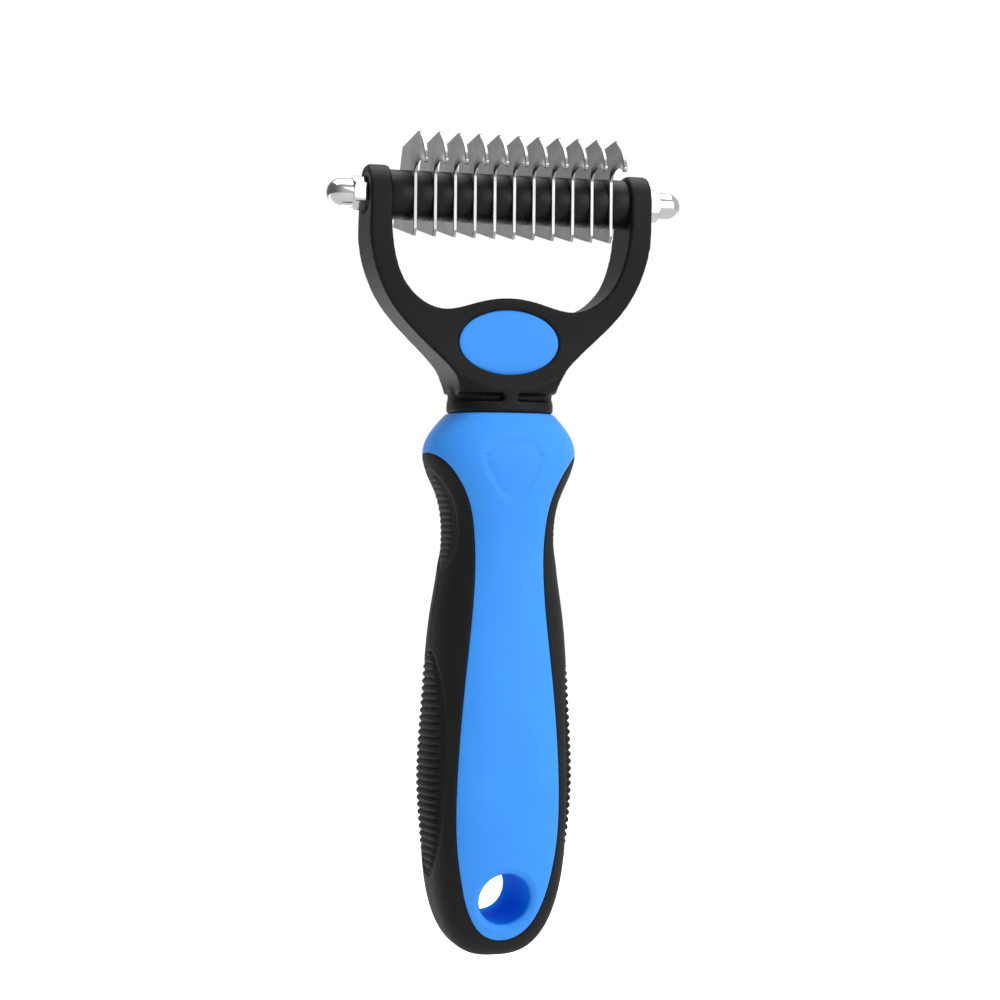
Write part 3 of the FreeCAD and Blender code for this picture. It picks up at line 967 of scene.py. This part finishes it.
def make_materials():
    """One material for each material slot of the record."""
    return {
        "handle_blue": plastic(
            "blue_plastic", BLUE, rough=(0.36, 0.44), specular=0.12,
            grain=0.35, grain_depth=0.004, wave_depth=0.02),
        "badge_blue": plastic(
            "badge_plastic", BLUE, rough=(0.34, 0.42), specular=0.12,
            grain=0.35, grain_depth=0.004, wave_depth=0.01),
        "grip_black": plastic(
            "soft_grip", GRIP_BLACK, rough=(0.58, 0.7), specular=0.18,
            grain=0.3, grain_depth=0.012, wave_depth=0.02),
        "yoke_black": plastic(
            "fork_plastic", YOKE_BLACK, rough=(0.42, 0.52), specular=0.16,
            grain=0.25, grain_depth=0.006, wave_depth=0.03),
        "spacer_black": plastic(
            "sleeve_plastic", SPACER_BLACK, rough=(0.34, 0.44), specular=0.2,
            grain=0.25, grain_depth=0.005, wave_depth=0.01),
        "blade_steel": steel(
            "ground_steel", BLADE_METAL, rough=(0.18, 0.25),
            grind=0.12, grind_depth=0.002, stretch=(1, 1, 14)),
        "axle_steel": steel(
            "turned_steel", AXLE_METAL, rough=(0.25, 0.4),
            grind=0.15, grind_depth=0.003, stretch=(1, 8, 8)),
        "nut_chrome": steel(
            "chrome", CHROME, rough=(0.04, 0.1),
            grind=0.8, grind_depth=0.0015, stretch=(1, 1, 1)),
    }


# ---------------------------------------------------------------- stage, light and camera

VIEW_AZIMUTH, VIEW_ELEVATION, VIEW_ROLL = (math.radians(d) for d in (15.874, 0.155, 0.527))
VIEW_DISTANCE = 542.1
VIEW_AIM = (0.364, -2.5, 93.393)
LENS = 82.22
SENSOR_WIDTH = 36

FLOOR_DROP = 70.0                   # the tool is held clear of the floor
FLOOR_RADIUS = 1.6                  # metres
FLOOR_PATCHES = 60.0
FLOOR_TONES = ((0.62, 0.62, 0.62), (0.65, 0.65, 0.65))
FLOOR_GLOW = 0.75
FLOOR_GLOW_SPAN = (0.1, 0.35)       # the floor brightens between these depths, in metres


def floor():
    """Pale sheet that glows where it runs away behind the tool."""
    material, nodes, links, shader, vector = new_material("pale_floor")
    tone = noise(nodes, links, vector, FLOOR_PATCHES)
    links.new(two_tone(nodes, links, tone, *FLOOR_TONES), shader.inputs["Base Color"])
    split = nodes.new("ShaderNodeSeparateXYZ")
    links.new(vector, split.inputs["Vector"])
    glow = smooth_range(nodes, links, split.outputs["Y"], FLOOR_GLOW_SPAN, (0.0, FLOOR_GLOW))
    links.new(glow, shader.inputs["Emission Strength"])
    shader.inputs["Roughness"].default_value = 0.9
    shader.inputs["Emission Color"].default_value = (1, 1, 1, 1)
    bpy.ops.mesh.primitive_circle_add(vertices=96, radius=FLOOR_RADIUS, fill_type="NGON")
    sheet = bpy.context.object
    sheet.name = "floor"
    sheet.location.z = CAD_BOX[0].z - FLOOR_DROP * MM
    sheet.data.materials.append(material)


def aim(obj, target):
    """Turns a lamp to face a place given in millimetres."""
    obj.rotation_mode = "QUATERNION"
    obj.rotation_quaternion = (Vector(target) * MM - obj.location).to_track_quat("-Z", "Y")


def area_light(name, place, target, size, power):
    """Rectangular light; its place, target and size are in millimetres."""
    lamp = bpy.data.lights.new(name, "AREA")
    lamp.shape = "RECTANGLE"
    lamp.size, lamp.size_y = (s * MM for s in size)
    lamp.energy = power
    obj = bpy.data.objects.new(name, lamp)
    bpy.context.scene.collection.objects.link(obj)
    obj.location = Vector(place) * MM
    aim(obj, target)


# Brightness of the surround by direction: white behind the tool, and dimmest at its left.
BACKDROP = 1.02
BACKDROP_ANGLES = (32.0, 21.0)      # it brightens between these degrees off the line of sight
SIDE_STRENGTH = (0.16, 0.75)        # at the left and at the right
WORLD_SIDES = (-1.0, 0.8)           # sideways part of the direction at those two


def studio_world():
    """Plain studio surround, worked out from the direction in the room."""
    world = bpy.data.worlds.new("studio")
    bpy.context.scene.world = world
    world.use_nodes = True
    nodes, links = world.node_tree.nodes, world.node_tree.links
    background = next(n for n in nodes if n.type == "BACKGROUND")
    direction = nodes.new("ShaderNodeTexCoord").outputs["Generated"]

    along = nodes.new("ShaderNodeVectorMath")
    along.operation = "DOT_PRODUCT"
    along.inputs[1].default_value = (math.sin(VIEW_AZIMUTH), math.cos(VIEW_AZIMUTH), 0.0)
    links.new(direction, along.inputs[0])
    split = nodes.new("ShaderNodeSeparateXYZ")
    links.new(direction, split.inputs["Vector"])
    edges = tuple(math.cos(math.radians(angle)) for angle in BACKDROP_ANGLES)
    mix = nodes.new("ShaderNodeMix")
    mix.data_type = "FLOAT"
    mix.inputs["B"].default_value = BACKDROP
    behind = smooth_range(nodes, links, along.outputs["Value"], edges, (0.0, 1.0))
    around = smooth_range(nodes, links, split.outputs["X"], WORLD_SIDES, SIDE_STRENGTH)
    links.new(behind, mix.inputs["Factor"])
    links.new(around, mix.inputs["A"])
    links.new(mix.outputs["Result"], background.inputs["Strength"])
    background.inputs["Color"].default_value = (1.0, 1.0, 1.0, 1)


def lights():
    """The surround, a broad key light from the front right, and a wide panel overhead."""
    studio_world()
    area_light("key", place=(750, -1250, 420), target=(0, 0, 80), size=(1100, 1500), power=11.5)
    area_light("top", place=(0, 300, 2200), target=(0, 300, 0), size=(2600, 2600), power=60)


def camera():
    """Camera at the angle, distance and roll of the view, aimed at a point of the tool."""
    a, e, r = VIEW_AZIMUTH, VIEW_ELEVATION, VIEW_ROLL
    look = Vector((math.sin(a) * math.cos(e), math.cos(a) * math.cos(e), -math.sin(e)))
    right = Vector((math.cos(a), -math.sin(a), 0))
    up = right.cross(look)
    right_rolled = right * math.cos(r) + up * math.sin(r)
    up_rolled = up * math.cos(r) - right * math.sin(r)
    data = bpy.data.cameras.new("camera")
    data.lens = LENS
    data.sensor_width = SENSOR_WIDTH
    data.clip_start = 10 * MM
    obj = bpy.data.objects.new("camera", data)
    bpy.context.scene.collection.objects.link(obj)
    turn = Matrix((right_rolled, up_rolled, -look)).transposed().to_4x4()
    obj.matrix_world = Matrix.Translation((Vector(VIEW_AIM) - look * VIEW_DISTANCE) * MM) @ turn
    bpy.context.scene.camera = obj


BLADE_COUNT = 11


def main():
    materials = make_materials()
    # paints shade onto the wall of the hanging hole
    paint_shade_in_bore(materials["handle_blue"])
    handle_core(materials["handle_blue"])
    grip(materials["grip_black"])
    yoke(materials["yoke_black"])
    badge(materials["badge_blue"])
    for number in range(1, BLADE_COUNT + 1):
        blade(number, materials["blade_steel"])
    for number in range(1, BLADE_COUNT + 2):
        spacer(number, materials["spacer_black"])
    for side in (-1, 1):
        cap_nut(side, materials["nut_chrome"])
    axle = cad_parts["axle"]
    axle.data.materials.clear()
    axle.data.materials.append(materials["axle_steel"])
    floor()
    lights()
    camera()
    bpy.context.scene.view_settings.view_transform = "Standard"


main()
